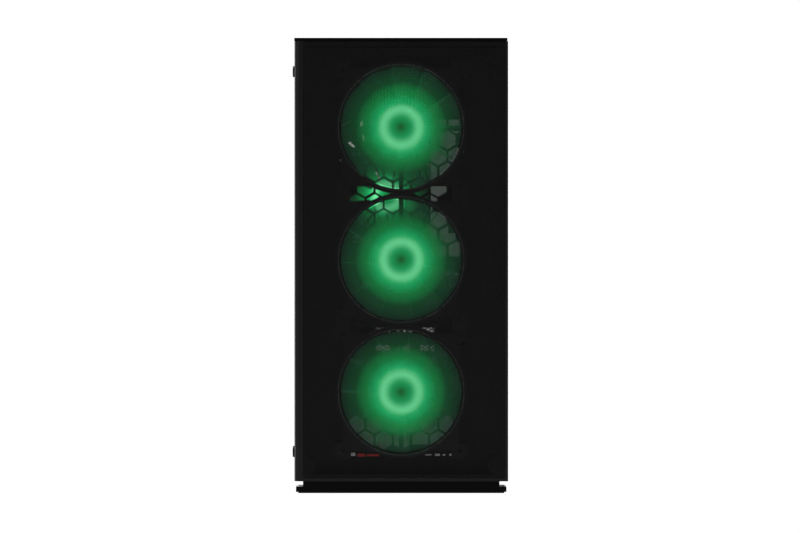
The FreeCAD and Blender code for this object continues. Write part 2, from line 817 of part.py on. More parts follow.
# ---------------------------------------------------------------- graphics card
CARD_X = 6.0
CARD_FANS = (34.0, 134.0)
card = box(-42, 52, -16, "rear_y - sheet * 2", 181.2, 182.8)
card_edge = box(52, 60.6, 12, 94, 181.2, 182.8)
card_chip = box(-4, 28, 66, 98, 180.0, 181.2)
node("gpu_board", fuse(card, card_edge, card_chip))

sink = new_body()
sink_base = sketch(sink, "XY", 177.2)
rectangle(sink_base, -38, 48, -10, 180)
pad(sink, sink_base, 2.8)
sink_fin = sketch(sink, "XY", 162)
rectangle(sink_fin, -38, 48, -10, -9.2)
fin = pad(sink, sink_fin, 15.2)
repeat_line(sink, fin, "Y_Axis", 189.2, 44)
node("gpu_heatsink", sink)

shroud = new_body()
face = sketch(shroud, "XY", 144)
rectangle(face, -44, 54, -18, 186)
for y in CARD_FANS:
    circle(face, CARD_X, y, "card_bore")
pad(shroud, face, 14.5)
spider = sketch(shroud, "XY", 158.5)
rectangle(spider, -44, 54, -18, 186)
for y in CARD_FANS:
    circle(spider, CARD_X, y, "card_bore")
pad(shroud, spider, 2.5)
for y in CARD_FANS:
    arms = sketch(shroud, "XY", 158.5)
    rectangle(arms, CARD_X - 43, CARD_X + 43, y - 2, y + 2)
    pad(shroud, arms, 2.5)
    bar = sketch(shroud, "XY", 158.5)
    rectangle(bar, CARD_X - 2, CARD_X + 2, y - 43, y + 43)
    pad(shroud, bar, 2.5)
    seat = sketch(shroud, "XY", 158.5)
    circle(seat, CARD_X, y, "card_hub")
    pad(shroud, seat, 2.5)
    pin = sketch(shroud, "XY", 158.5)
    circle(pin, CARD_X, y, "pin_r")
    pad(shroud, pin, 9.5, reverse=True)
skirt = sketch(shroud, "XY", 161)
rectangle(skirt, -44, 54, -18, 186)
rectangle(skirt, -41, 51, -15, 183)
pad(shroud, skirt, 19.9)
node("gpu_shroud", shroud)

for name, y, phase in (("front", CARD_FANS[0], 0.0), ("rear", CARD_FANS[1], 20.0)):
    fan_rotor(f"gpu_fan_{name}", CARD_X, y, 161.0, "card_tip", "card_hub", 3.1, 14.0, 9,
              facing="down", phase=phase)

bracket = sheet_part(
    "XZ", "rear_y - sheet", "sheet", corners_of(-42, 68, 146.5, 187),
    windows=[(-20, -4, 172.5, 178.5), (4, 20, 172.5, 178.5), (28, 44, 172.5, 178.5)]
    + [(x, x + 12, 152, 160) for x in (-28, -10, 8, 26)],
)
node("gpu_bracket", bracket)

# ---------------------------------------------------------------- power supply
supply_vents = hex_field(-58, 20, 24, 92, 8.6, 1.4, -19.0, 58.0)
supply_rear = sheet_part(
    "XZ", "rear_y - sheet", 1.0,
    corners_of("-supply_half", "supply_half", "supply_low", "supply_high"),
    vents=supply_vents,
    windows=[(28.2, 55.8, 31.2, 52.8), (34.2, 49.8, 63.5, 88.5)],
)
supply_block = box("-supply_half", "supply_half", "supply_front", "rear_y - sheet - 1",
                   "supply_low", "supply_high")
supply_hollow = box("-supply_half + 1", "supply_half - 1", "supply_front + 1", "rear_y",
                    "supply_low + 1", "supply_high - 1")
supply_mouth = rod("Z", 0, "supply_fan_y", "supply_low - 1", "supply_bore", 3.0)
supply_shell = fuse(cut(supply_block, supply_hollow, supply_mouth), supply_rear)
fan_seat = [
    box("-supply_half + 1", "supply_half - 1", "supply_fan_y - 2", "supply_fan_y + 2", 31, 33),
    rod("Z", 0, "supply_fan_y", 31, "fan_hub", 2.0),
    rod("Z", 0, "supply_fan_y", 19.5, "pin_r", 11.5),
]
grille = [box(-52, 52, "supply_fan_y - 1", "supply_fan_y + 1", 15, 16),
          box(-1, 1, "supply_fan_y - 52", "supply_fan_y + 52", 15, 16)]
for radius in (16, 28, 40):
    grille.append(cut(rod("Z", 0, "supply_fan_y", 15, radius + 0.9, 1.0),
                      rod("Z", 0, "supply_fan_y", 14.5, radius - 0.9, 2.0)))
node("psu_case", fuse(supply_shell, *fan_seat, *grille))
fan_rotor("psu_fan_rotor", 0, "supply_fan_y", 33.0, "supply_tip", "fan_hub", 2.6, 15.6, 11,
          facing="down")

SWITCH_Z = 76.0
SWITCH_Y = 192.5
inlet_body = fuse(box(27, 57, "rear_y - sheet", "rear_y + 1.2", 28, 91),
                  box(28.5, 55.5, 176, "rear_y - sheet", 31.5, 52.5),
                  box(34.5, 49.5, 182, "rear_y - sheet", 63.8, 88.2))
inlet_holes = [
    box(30, 54, 179, "rear_y + 2", 33.8, 50.2),
    box(35.7, 48.3, 183.5, "rear_y + 2", 65.0, 87.0),
    rod("X", 34, SWITCH_Y, SWITCH_Z, 1.25, 16.0),
]
blades = [box(x - 1, x + 1, 179, 191, z, z + 5) for x, z in ((35, 37.5), (42, 42), (49, 37.5))]
node("psu_inlet", fuse(cut(inlet_body, *inlet_holes), *blades))

rocker = new_body()
rocker.Placement = Placement(Vector(36.0, SWITCH_Y, SWITCH_Z), Rotation(Vector(1, 0, 0), -9.0))
rocker_face = sketch(rocker, "YZ")
polygon(rocker_face, [(-3, -4.5), (-3, 4.5), (2.5, 9.0), (5.4, 9.0), (3.6, "0"), (5.4, -9.0), (2.5, -9.0)])
pad(rocker, rocker_face, 12.0)
node("psu_switch", fuse(rocker, rod("X", 34.8, SWITCH_Y, SWITCH_Z, 1.2, 14.4)))

# ---------------------------------------------------------------- drives
drive = new_body()
drive_face = sketch(drive, "XZ", "drive_rear")
polygon(drive_face, [
    ("-drive_half", "drive_low"), ("drive_half", "drive_low"),
    ("drive_half", "drive_high - 3"), ("drive_half - 2", "drive_high - 3"),
    ("drive_half - 2", "drive_high"), ("-drive_half + 2", "drive_high"),
    ("-drive_half + 2", "drive_high - 3"), ("-drive_half", "drive_high - 3"),
])
pad(drive, drive_face, "drive_rear - drive_front")
socket = sketch(drive, "XZ", "drive_front")
rectangle(socket, -41, 36, 30, 38)
pocket(drive, socket, 6.0)
node("hard_drive", drive)
node("ssd", fuse(box(-55, 15, -135, -35, "shroud_z + sheet", 113.2),
                 box(-50, 10, -126, -44, 113.2, 113.8)))

# ---------------------------------------------------------------- cables
atx_plug = box(46, 53, -48.5, -39.5, 236, 286)
atx_run = cable([(55, 56.2, 60), (55, 44, 60), (84, 44, 60), (84, 44, 261), (84, -76, 261),
                 (34, -76, 261), (34, -44, 261), (46, -44, 261)], 9.0, 4.5)

sata_plug = box(-38, -20, -126, -114, 31, 37)
sata_run = cable([(-29, -126, 34), (-29, -137, 34), (-29, -137, 20), (84, -137, 20),
                  (84, -137, 140), (84, -76, 140), (43, -76, 140), (43, -43, 140),
                  (51, -43, 140)], 6.0, 2.2)
sata_end = box(51, 57, -47, -39, 134, 146)
node("sata_cable", fuse(sata_run, sata_plug, sata_end))

lead_plug = box(10, 34, -126, -114, 31, 37)
lead_run = cable([(22, -126, 34), (22, -131.2, 34), (22, -131.2, 20.5), (22, 56.2, 20.5)], 5.0, 2.6)
node("power_cables", group(fuse(atx_run, atx_plug), fuse(lead_run, lead_plug)))

# ---------------------------------------------------------------- side panels
pane = sheet_part(
    "YZ", "-half_width", "glass",
    corners_of("plate_y + 1", "rear_y", 13.3, "trim_z - 0.3"),
    rounds=[(y, z, 2.6) for y in ("screw_front", "screw_rear") for z in ("screw_high", "screw_low")],
)
node("glass_panel", pane)
node("glass_washers", group(*[
    cut(rod("X", "-half_width + glass", y, z, 6.5, 0.3),
        rod("X", "-half_width + glass - 1", y, z, 2.6, 3.0))
    for y in ("screw_front", "screw_rear") for z in ("screw_high", "screw_low")
]))


def knob(axis, x, y, z, height, shaft, length, grip):
    """Thumbscrew: a grooved head outside and a plain shaft inward."""
    body = new_body()
    body.Placement = Placement(Vector(), TURNS[axis])
    place(body, x, y, z)
    head = sketch(body, "XY")
    circle(head, "0", "0", grip)
    top = pad(body, head, height)
    groove = sketch(body, "XY", height)
    circle(groove, grip, "0", 0.42)
    ridge = pocket(body, groove)
    repeat_round(body, ridge, 20)
    hollow = sketch(body, "XY", height)
    circle(hollow, "0", "0", f"{grip} * 0.45")
    pocket(body, hollow, 0.8)
    stem = sketch(body, "XY")
    circle(stem, "0", "0", shaft)
    body.Tip = pad(body, stem, length, reverse=True)
    return body


def side_knob(label, y, z):
    """A knob on the glass: the head is on the -X side."""
    body = knob("Z", "-half_width", y, z, "knob_height", "screw_r", 12.0, "knob_r")
    body.Placement = Placement(body.Placement.Base, Rotation(Vector(0, 1, 0), -90))
    place(body, "-half_width", y, z)
    return node(label, body)


side_knob("thumbscrew_front_high", "screw_front", "screw_high")
side_knob("thumbscrew_front_low", "screw_front", "screw_low")
side_knob("thumbscrew_rear_high", "screw_rear", "screw_high")
side_knob("thumbscrew_rear_low", "screw_rear", "screw_low")

steel = box("half_width - sheet", "half_width", "plate_y + 0.5", "rear_y + 1.1", 11.6, "trim_z - 0.3")
lip = sheet_part("XZ", "rear_y + 1.1", "sheet", corners_of(83, "half_width - sheet / 2", 30, 390),
                 rounds=[(90, z, 2.2) for z in (60, 350)])
node("right_panel", fuse(steel, lip))
rear_knobs = []
for z in (60, 350):
    body = knob("Z", 90, "rear_y + 1.1", z, "knob_height", 1.7, 8.0, "knob_r")
    body.Placement = Placement(body.Placement.Base, Rotation(Vector(1, 0, 0), -90))
    place(body, 90, "rear_y + 1.1", z)
    rear_knobs.append(body)
node("rear_thumbscrews", group(*rear_knobs))

node("psu_filter", sheet_part(
    "XY", 8.9, 2.8, corners_of(-87, 64, 60.1, 167.9),
    vents=hex_field(-82, 60, 64, 164, 14.0, 1.6, -11.0, 114.0),
))

# ---------------------------------------------------------------- fasteners
fan_screws = []
for level in fan_levels:
    for s in (-1, 1):
        for t in (-1, 1):
            x, z = s * ear, level + t * ear
            fan_screws.append(fuse(rod("Y", x, plate_back, z, 3.8, 2.0),
                                   rod("Y", x, "plate_y - 4", z, 2.0, 4.8)))
supply_screws = [
    fuse(rod("Y", s * 66, "rear_y", z, 3.6, 2.2), rod("Y", s * 66, "rear_y - sheet", z, 1.7, "sheet"))
    for s in (-1, 1) for z in (24, 92)
]
node("screws", group(*fan_screws, *supply_screws, *board_screws))

# ---------------------------------------------------------------- build, check, write
doc.recompute()
broken = [o.Label for o in doc.Objects if {"Invalid", "Error"} & set(o.State)]
assert not broken, broken
os.makedirs("parts", exist_ok=True)
for made in nodes:
    shape = made.Shape
    assert not shape.isNull() and shape.isValid() and shape.Volume > 0, made.Label
    shape.exportStep(f"parts/{made.Label}.step")
    low, high = shape.BoundBox, shape.BoundBox
    print(f"{made.Label:24s} solids {len(shape.Solids):3d} faces {len(shape.Faces):5d} "
          f"x {low.XMin:7.1f} {high.XMax:7.1f} y {low.YMin:7.1f} {high.YMax:7.1f} "
          f"z {low.ZMin:6.1f} {high.ZMax:6.1f}")
print(len(nodes), "nodes")
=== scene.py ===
import math
import random

import bpy
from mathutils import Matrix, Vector


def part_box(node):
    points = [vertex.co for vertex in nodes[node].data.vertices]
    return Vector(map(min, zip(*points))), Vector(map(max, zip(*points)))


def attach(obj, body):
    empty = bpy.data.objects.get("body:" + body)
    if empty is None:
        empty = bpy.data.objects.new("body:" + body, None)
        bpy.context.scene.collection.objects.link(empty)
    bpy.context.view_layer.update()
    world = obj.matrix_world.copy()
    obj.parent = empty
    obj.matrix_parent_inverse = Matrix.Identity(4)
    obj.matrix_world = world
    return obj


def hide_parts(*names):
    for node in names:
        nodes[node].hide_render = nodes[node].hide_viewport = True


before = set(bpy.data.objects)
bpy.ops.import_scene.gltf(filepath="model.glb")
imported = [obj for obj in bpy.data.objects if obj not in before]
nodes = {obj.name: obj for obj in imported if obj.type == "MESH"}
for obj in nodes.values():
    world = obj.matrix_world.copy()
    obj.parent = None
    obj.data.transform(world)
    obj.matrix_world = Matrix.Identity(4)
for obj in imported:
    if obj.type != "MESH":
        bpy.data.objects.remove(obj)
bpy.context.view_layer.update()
random.seed(7)

# The front faces -Y and +Z is up. Metres here; blocks and drums take millimetres.
FRONT_Y = -0.203
FAN_LEVELS = {"top": 0.33, "mid": 0.21, "low": 0.09}
COOLER_FAN = (-0.0145, 0.275)   # x and z of its axle
WHITE = (1.0, 1.0, 1.0)
# Planes that small pieces sit on, in millimetres.
BOARD_FACE = 66.0       # the motherboard's face, looking towards -X
CARD_FACE = 182.8       # the upper face of the graphics card's board
REAR_FACE = 187.0       # where parts behind the rear wall's openings begin
SUPPLY_FLOOR = 88.0     # the power supply's board, with its parts hanging below
# How the glow falls off from a fan's axle to its rim.
LED_STOPS = [
    (0.00, (0.001, 0.027, 0.003)),
    (0.08, (0.003, 0.145, 0.033)),
    (0.17, (0.004, 0.220, 0.064)),
    (0.23, (0.050, 0.340, 0.132)),
    (0.30, (0.100, 0.465, 0.208)),
    (0.36, (0.048, 0.345, 0.130)),
    (0.42, (0.005, 0.228, 0.068)),
    (0.56, (0.002, 0.096, 0.022)),
    (0.76, (0.001, 0.020, 0.006)),
    (1.00, (0.001, 0.006, 0.003)),
]


# ---------------------------------------------------------------- materials
def nodes_of(name):
    """A new material, its node tree, its shader and its output."""
    made = bpy.data.materials.new(name)
    made.use_nodes = True
    tree = made.node_tree
    return made, tree, tree.nodes["Principled BSDF"], tree.nodes["Material Output"]


def add(tree, kind, **inputs):
    """A shader node with its inputs set by name: a value, or a socket to link from."""
    made = tree.nodes.new(kind)
    for name, value in inputs.items():
        socket = made.inputs[int(name[1:])] if name[0] == "_" else made.inputs[name]
        if isinstance(value, bpy.types.NodeSocket):
            tree.links.new(value, socket)
        else:
            socket.default_value = value
    return made


def math_node(tree, operation, a, b=0.0):
    """The output of a sum on two values or sockets."""
    made = add(tree, "ShaderNodeMath", _0=a, _1=b)
    made.operation = operation
    return made.outputs[0]


def set_inputs(node, values):
    """Plain values for a node's inputs, by the names they are shown with."""
    for name, value in values.items():
        node.inputs[name].default_value = value


def plain(name, color, rough, metal=0.0, specular=0.5, grain=0.0, grain_size=900.0,
          glow=0.0, edge=0.0):
    """A uniform finish, with an optional fine bump, a faint painted glow for light falling on it,
    and softened edges.
    """
    made, tree, shader, _ = nodes_of(name)
    set_inputs(shader, {
        "Base Color": (*color, 1.0), "Roughness": rough, "Metallic": metal,
        "Specular IOR Level": specular, "Emission Color": (*color, 1.0),
        "Emission Strength": glow})
    normal = add(tree, "ShaderNodeBevel", Radius=edge).outputs[0] if edge else None
    if grain:
        where = add(tree, "ShaderNodeTexCoord").outputs["Object"]
        noise = add(tree, "ShaderNodeTexNoise", Vector=where, Scale=grain_size, Detail=2.0)
        bump = add(tree, "ShaderNodeBump", Height=noise.outputs[0], Strength=grain,
                   Distance=0.0003)
        if normal:
            tree.links.new(normal, bump.inputs["Normal"])
        normal = bump.outputs[0]
    if normal:
        tree.links.new(normal, shader.inputs["Normal"])
    return made


def lit_rotor(name, level, x=0.0, size=0.0548, strength=3.35, opacity=0.3):
    """Frosted plastic lit from the hub: the glow and the haze fall off away from the axle."""
    made, tree, shader, output = nodes_of(name)
    where = add(tree, "ShaderNodeTexCoord").outputs["Object"]
    parts = add(tree, "ShaderNodeSeparateXYZ", Vector=where).outputs
    squares = []
    for place, centre in ((parts[0], x), (parts[2], level)):
        off = math_node(tree, "ABSOLUTE", math_node(tree, "SUBTRACT", place, centre))
        squares.append(math_node(tree, "POWER", off, 2.0))
    square = math_node(tree, "ADD", *squares)
    reach = math_node(tree, "DIVIDE", math_node(tree, "SQRT", square), size)
    ramp = add(tree, "ShaderNodeValToRGB", Fac=reach)
    ramp.color_ramp.elements.remove(ramp.color_ramp.elements[1])
    for i, (at, color) in enumerate(LED_STOPS):
        spot = ramp.color_ramp.elements[0] if i == 0 else ramp.color_ramp.elements.new(at)
        spot.position = at
        spot.color = (*color, 1.0)
    glow = add(tree, "ShaderNodeEmission", Color=ramp.outputs[0], Strength=strength)
    set_inputs(shader, {"Base Color": (0.02, 0.05, 0.035, 1.0), "Roughness": 0.45})
    veil = add(tree, "ShaderNodeMapRange", Value=reach)
    set_inputs(veil, {"From Min": 0.4, "From Max": 0.85, "To Min": 1.0, "To Max": opacity})
    tree.links.new(veil.outputs[0], shader.inputs["Alpha"])
    both = add(tree, "ShaderNodeAddShader", _0=shader.outputs[0], _1=glow.outputs[0])
    tree.links.new(both.outputs[0], output.inputs["Surface"])
    return made


def smoked_glass(name, tint, gloss):
    """A thin clear pane: it tints what is behind it and mirrors a little."""
    made, tree, shader, output = nodes_of(name)
    tree.nodes.remove(shader)
    clear = add(tree, "ShaderNodeBsdfTransparent", Color=(*tint, 1.0))
    mirror = add(tree, "ShaderNodeBsdfGlossy", Color=(*WHITE, 1.0), Roughness=0.02)
    both = add(tree, "ShaderNodeMixShader", Fac=gloss)
    tree.links.new(clear.outputs[0], both.inputs[1])
    tree.links.new(mirror.outputs[0], both.inputs[2])
    tree.links.new(both.outputs[0], output.inputs["Surface"])
    return made


steel_black = plain("black steel", (0.008, 0.008, 0.0085), 0.5, specular=0.3, grain=0.15)
front_black = plain("front plastic", (0.0042, 0.0034, 0.0043), 0.4, specular=0.17, grain=0.1,
                    edge=0.0005)
trim_black = plain("roof plastic", (0.0016, 0.0013, 0.0014), 0.6, specular=0.05, grain=0.1,
                   edge=0.0004)
mesh_black = plain("mesh black", (0.003, 0.003, 0.003), 0.55, specular=0.15)
foot_black = plain("foot plastic", (0.0016, 0.0013, 0.0014), 0.6, specular=0.06, grain=0.2)
rubber = plain("rubber", (0.004, 0.004, 0.004), 0.8, specular=0.2)
fan_black = plain("fan plastic", (0.008, 0.008, 0.008), 0.45, specular=0.3)
screw_black = plain("black zinc", (0.02, 0.02, 0.022), 0.35, metal=0.6)
board_black = plain("solder mask", (0.008, 0.011, 0.010), 0.35, specular=0.5)
silver = plain("nickel", (0.32, 0.32, 0.33), 0.36, metal=1.0)
socket_black = plain("socket black", (0.012, 0.012, 0.012), 0.5)
# The memory modules' faint glow is painted light, standing in for light falling on them inside the
# case.
light_alloy_painted_glow = plain("light anodised painted glow", (0.62, 0.63, 0.64), 0.35, metal=0.75, glow=0.16)
dark_alloy = plain("dark anodised", (0.06, 0.06, 0.065), 0.35, metal=0.8)
fin_alloy = plain("bare aluminium", (0.62, 0.63, 0.64), 0.3, metal=1.0)
copper = plain("copper", (0.62, 0.30, 0.17), 0.25, metal=1.0)
card_black = plain("card shroud", (0.014, 0.014, 0.015), 0.42)
bracket_steel = plain("bracket", (0.34, 0.34, 0.35), 0.36, metal=1.0)
supply_grey = plain("supply case", (0.02, 0.02, 0.021), 0.5, specular=0.4, grain=0.4)
# The hard drive's faint glow is painted light, standing in for light falling on it inside the case.
drive_alloy_painted_glow = plain("drive casting painted glow", (0.58, 0.58, 0.6), 0.38, metal=0.9, glow=0.10)
ssd_black = plain("drive shell", (0.014, 0.014, 0.016), 0.35)
sleeve = plain("braided sleeve", (0.008, 0.008, 0.008), 0.7, specular=0.3, grain=0.8,
               grain_size=1400.0)
# The red cable's faint glow is painted light, standing in for light falling on it inside the case.
red_cable_painted_glow = plain("red cable painted glow", (0.42, 0.015, 0.012), 0.4, glow=0.15)
ferrite = plain("ferrite", (0.05, 0.05, 0.053), 0.55)
chip_black = plain("chip epoxy", (0.010, 0.010, 0.011), 0.45)
can_silver = plain("capacitor can", (0.6, 0.6, 0.6), 0.3, metal=0.9)
tongue_blue = plain("port tongue", (0.02, 0.09, 0.42), 0.5)
winding = plain("transformer tape", (0.55, 0.36, 0.05), 0.5)
supply_board = plain("supply board", (0.10, 0.055, 0.02), 0.6)
glass_print = plain("printed border", (0.004, 0.004, 0.004), 0.25)
smoked = smoked_glass("smoked glass", (0.54, 0.56, 0.58), 0.014)

finish_of = {
    steel_black: ("front_plate", "side_flanges", "rear_plate", "floor_pan", "roof_plate",
                  "motherboard_tray", "psu_shroud", "drive_cage", "slot_covers", "right_panel"),
    front_black: ("front_frame",),
    trim_black: ("top_trim", "power_button", "reset_button"),
    mesh_black: ("front_mesh", "top_filter", "psu_filter"),
    foot_black: ("front_foot", "rear_foot"),
    rubber: ("foot_pads", "glass_washers"),
    fan_black: ("fan_top_frame", "fan_mid_frame", "fan_low_frame", "rear_fan_frame",
                "rear_fan_rotor", "cooler_fan_frame", "gpu_fan_front", "gpu_fan_rear",
                "psu_fan_rotor"),
    screw_black: ("thumbscrew_front_high", "thumbscrew_front_low", "thumbscrew_rear_high",
                  "thumbscrew_rear_low", "rear_thumbscrews", "screws"),
    board_black: ("motherboard", "gpu_board"),
    silver: ("rear_io",),
    socket_black: ("front_io", "board_connectors", "psu_inlet", "psu_switch"),
    light_alloy_painted_glow: ("ram_modules",),
    dark_alloy: ("board_heatsinks",),
    fin_alloy: ("cooler_fins", "gpu_heatsink"),
    copper: ("cooler_base",),
    card_black: ("gpu_shroud",),
    bracket_steel: ("gpu_bracket",),
    supply_grey: ("psu_case",),
    drive_alloy_painted_glow: ("hard_drive",),
    ssd_black: ("ssd",),
    sleeve: ("power_cables",),
    red_cable_painted_glow: ("sata_cable",),
    smoked: ("glass_panel",),
}


def dress(name, material):
    """Give a whole CAD node one material."""
    nodes[name].data.materials.clear()
    nodes[name].data.materials.append(material)


for material, names in finish_of.items():
    for name in names:
        dress(name, material)
for name, level in FAN_LEVELS.items():
    dress(f"fan_{name}_rotor", lit_rotor(f"lit rotor {name}", level))
dress("cooler_fan_rotor", lit_rotor("lit cooler rotor", COOLER_FAN[1], x=COOLER_FAN[0],
                                    size=0.0423, strength=5.0, opacity=1.0))


# ---------------------------------------------------------------- pieces
def piece(name, vertices, faces, material, body, record_slot, stands_for=()):
    """A mesh of our own that rides on a body."""
    data = bpy.data.meshes.new(name)
    data.from_pydata(vertices, [], faces)
    data.materials.append(material)
    made = bpy.data.objects.new(name, data)
    bpy.context.scene.collection.objects.link(made)
    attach(made, body)
    if stands_for:
        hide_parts(*stands_for)
    return made


BOX_FACES = [(0, 1, 3, 2), (4, 6, 7, 5), (0, 4, 5, 1), (2, 3, 7, 6), (0, 2, 6, 4), (1, 5, 7, 3)]


def strips(x0, x1, z0, z1, depth, pitch, width, thick, angle):
    """Parallel thin bars across a rectangle in the XZ plane, as vertices and faces."""
    along = (math.cos(angle), math.sin(angle))
    across = (-along[1], along[0])
    corners = [(x, z) for x in (x0, x1) for z in (z0, z1)]
    offsets = [x * across[0] + z * across[1] for x, z in corners]
    vertices, faces = [], []
    for k in range(math.ceil(min(offsets) / pitch), math.floor(max(offsets) / pitch) + 1):
        offset = k * pitch
        limits = []
        for base, step, low, high in ((across[0] * offset, along[0], x0, x1),
                                      (across[1] * offset, along[1], z0, z1)):
            limits.append(sorted(((low - base) / step, (high - base) / step)))
        start = max(limits[0][0], limits[1][0])
        end = min(limits[0][1], limits[1][1])
        if end - start < pitch:
            continue
        first = len(vertices)
        for t in (start, end):
            for side in (-width / 2, width / 2):
                x = across[0] * (offset + side) + along[0] * t
                z = across[1] * (offset + side) + along[1] * t
                x, z = min(max(x, x0), x1), min(max(z, z0), z1)
                vertices += [(x, depth, z), (x, depth + thick, z)]
        faces += [tuple(first + i for i in face) for face in BOX_FACES]
    return vertices, faces


def woven(x0, x1, z0, z1, depth, pitch, width, thick):
    """Two crossed families of bars at 30 degrees either side of level, in the XZ plane."""
    vertices, faces = strips(x0, x1, z0, z1, depth, pitch, width, thick, math.radians(30))
    more, more_faces = strips(x0, x1, z0, z1, depth + thick * 0.6, pitch, width, thick,
                              math.radians(-30))
    faces += [tuple(len(vertices) + i for i in face) for face in more_faces]
    return vertices + more, faces


def blocks(*spans):
    """Boxes given in millimetres as (x0, x1, y0, y1, z0, z1)."""
    vertices, faces = [], []
    for x0, x1, y0, y1, z0, z1 in spans:
        first = len(vertices)
        vertices += [(x / 1000, y / 1000, z / 1000)
                     for x in (x0, x1) for y in (y0, y1) for z in (z0, z1)]
        faces += [tuple(first + i for i in face) for face in BOX_FACES]
    return vertices, faces


def drums(axis, sides, *spans):
    """Cylinders in millimetres as (x, y, z, radius, length), from that point along an axis."""
    vertices, faces = [], []
    u, v = [i for i in range(3) if i != axis]
    for x, y, z, radius, length in spans:
        first = len(vertices)
        for k in range(sides):
            turn = 2 * math.pi * k / sides
            for reach in (0.0, length):
                spot = [x, y, z]
                spot[axis] += reach
                spot[u] += radius * math.cos(turn)
                spot[v] += radius * math.sin(turn)
                vertices.append(tuple(c / 1000 for c in spot))
        low_ring = [first + 2 * k for k in range(sides)]
        faces += [tuple(low_ring), tuple(i + 1 for i in reversed(low_ring))]
        faces += [(low_ring[k], low_ring[k - 1], low_ring[k - 1] + 1, low_ring[k] + 1)
                  for k in range(sides)]
    return vertices, faces


def flat(shape):
    """The same shape laid down: what ran along Z now runs along Y."""
    vertices, faces = shape
    return [(x, z, y) for x, y, z in vertices], faces


def rim(x0, x1, y0, y1, z0, z1, width):
    """Four boxes round the edge of a lying sheet, in millimetres."""
    return blocks((x0, x1, y0, y0 + width, z0, z1), (x0, x1, y1 - width, y1, z0, z1),
                  (x0, x0 + width, y0, y1, z0, z1), (x1 - width, x1, y0, y1, z0, z1))


def joined(*shapes):
    """Several shapes' vertices and faces as one."""
    vertices, faces = [], []
    for more, more_faces in shapes:
        faces += [tuple(len(vertices) + i for i in face) for face in more_faces]
        vertices += more
    return vertices, faces


def paint(name, material, *zones):
    """Give the faces whose middle lies in a zone (millimetres) another material."""
    data = nodes[name].data
    data.materials.append(material)
    for face in data.polygons:
        x, y, z = (c * 1000 for c in face.center)
        if any(a <= x <= b and c <= y <= d and e <= z <= f for a, b, c, d, e, f in zones):
            face.material_index = len(data.materials) - 1


# The fine nets over the front and in the two filters.
low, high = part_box("front_mesh")
piece("front_fine_mesh",
      *woven(low.x, high.x, low.z, high.z, low.y + 0.0002, 0.0013, 0.00058, 0.00012),
      mesh_black, "front_panel", "mesh_black", ["front_mesh"])
NET_INSET = 0.002
RIB = 1.2
for name, body, border in (("top_filter", "roof_filter", 6.0),
                           ("psu_filter", "floor_filter", 5.0)):
    low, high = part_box(name)
    x0, x1, y0, y1, z0, z1 = (1000 * c for c in (low.x, high.x, low.y, high.y, low.z, high.z))
    net = flat(woven(low.x + NET_INSET, high.x - NET_INSET, low.y + NET_INSET,
                     high.y - NET_INSET, (low.z + high.z) / 2, 0.0017, 0.0007, 0.00012))
    ribs = blocks(*[(x0 + border, x1 - border, y - RIB, y + RIB, z0, z0 + RIB)
                    for y in [y0 + (y1 - y0) * k / 4 for k in (1, 2, 3)]])
    piece(f"{name}_fine", *joined(net, rim(x0, x1, y0, y1, z0, z1, border), ribs), mesh_black, body,
          "mesh_black", [name])

# A fine ring round the opening of each front fan, its glow painted light from the lit fans.
# LIP_FACES
# join one cut of the ring to the next: each corner is its number in the cut, then 1 if it is in the
# next.
LIP_SIDES = 96
LIP_RADII = (0.0566, 0.0572)
LIP_HALF_DEPTH = 0.0002
LIP_FACES = (((0, 0), (0, 1), (2, 1), (2, 0)), ((1, 0), (3, 0), (3, 1), (1, 1)),
             ((0, 0), (1, 0), (1, 1), (0, 1)), ((2, 0), (2, 1), (3, 1), (3, 0)))
lip_painted_glow = plain("fan lip painted glow", (0.022, 0.034, 0.028), 0.4, glow=1.2)
for name, level in FAN_LEVELS.items():
    low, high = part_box(f"fan_{name}_frame")
    vertices, faces = [], []
    for k in range(LIP_SIDES):
        turn = 2 * math.pi * k / LIP_SIDES
        for reach in LIP_RADII:
            for depth in (low.y - LIP_HALF_DEPTH, low.y + LIP_HALF_DEPTH):
                vertices.append((reach * math.cos(turn), depth, level + reach * math.sin(turn)))
        starts = (4 * k, 4 * ((k + 1) % LIP_SIDES))
        faces += [tuple(starts[cut] + corner for corner, cut in face) for face in LIP_FACES]
    piece(f"fan_{name}_lip", vertices, faces, lip_painted_glow, "chassis", "fan_black")

# Ends of the fans' leads, tucked against the foot of the lowest fan.
low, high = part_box("fan_low_frame")
face = 1000 * low.y
# The plugs and sleeves carry a faint painted glow, standing in for the fans' light falling on them.
lead_plug_painted_glow = plain("lead plug painted glow", (0.55, 0.56, 0.56), 0.5, glow=0.14)
lead_red_painted_glow = plain("lead red painted glow", (0.45, 0.02, 0.018), 0.5, glow=0.16)
for name, spans, material, slot in (
        ("fan_lead_sleeves", ((-39.5, -33, 1.6, 31.9, 34.6), (-31.5, -20, 1.4, 32.3, 34.0)),
         lead_red_painted_glow, "cable_red"),
        ("fan_lead_plugs", ((-45.5, -41.5, 1.8, 32.6, 35.4), (22, 27.5, 1.2, 33.0, 33.9),
                            (30.5, 35, 1.6, 32.6, 34.4), (37.5, 40, 1.2, 32.8, 34.0),
                            (43.5, 45.5, 1.4, 32.6, 34.4)),
         lead_plug_painted_glow, "connector_black")):
    piece(name, *blocks(*[(x0, x1, face - proud, face - 0.3, z0, z1)
                          for x0, x1, proud, z0, z1 in spans]),
          material, "chassis", slot)

